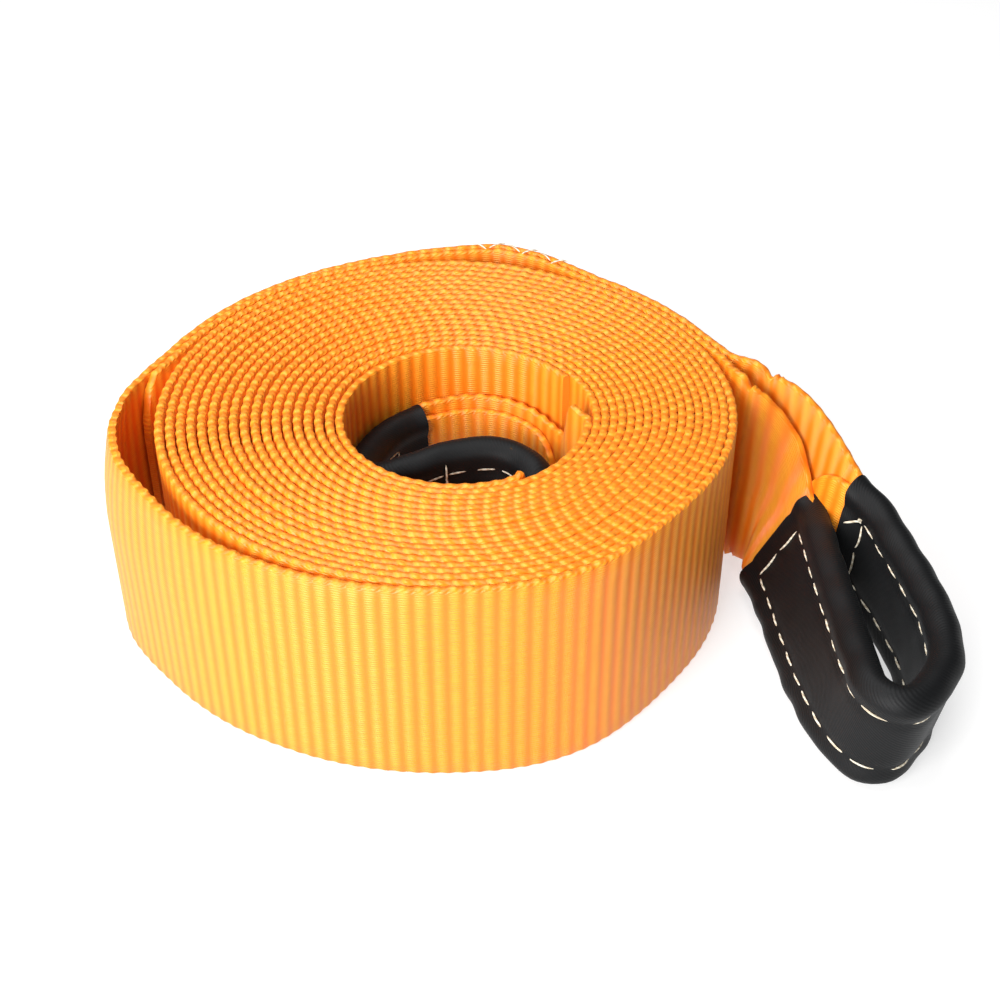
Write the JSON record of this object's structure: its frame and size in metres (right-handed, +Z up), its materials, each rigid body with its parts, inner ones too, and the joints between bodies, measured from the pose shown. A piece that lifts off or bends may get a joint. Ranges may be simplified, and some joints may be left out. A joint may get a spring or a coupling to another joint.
{
  "type": "flat webbing tow strap",
  "caption": "Flat woven tow strap, rolled into a coil that stands on its edges, with a sleeved eye at each end: one beside the roll, one inside its bore.",
  "frame": {"origin": "middle of the strap's footprint, on the floor it stands on", "axes": "+Z up along the roll's axis, +X from the roll towards the outer eye"},
  "size_m": [0.264, 0.207, 0.075],
  "materials": {
    "webbing": "woven polyester webbing, bright yellow-orange, ribbed across its width",
    "sleeve": "black woven nylon wear sleeve with off-white stitching"
  },
  "bodies": {
    "root": {"webbing_coil": "webbing", "webbing_outer_turn": "webbing", "webbing_outer_eye": "webbing", "webbing_inner_eye": "webbing", "outer_eye_sleeve": "sleeve", "inner_eye_sleeve": "sleeve"}
  },
  "joints": []
}
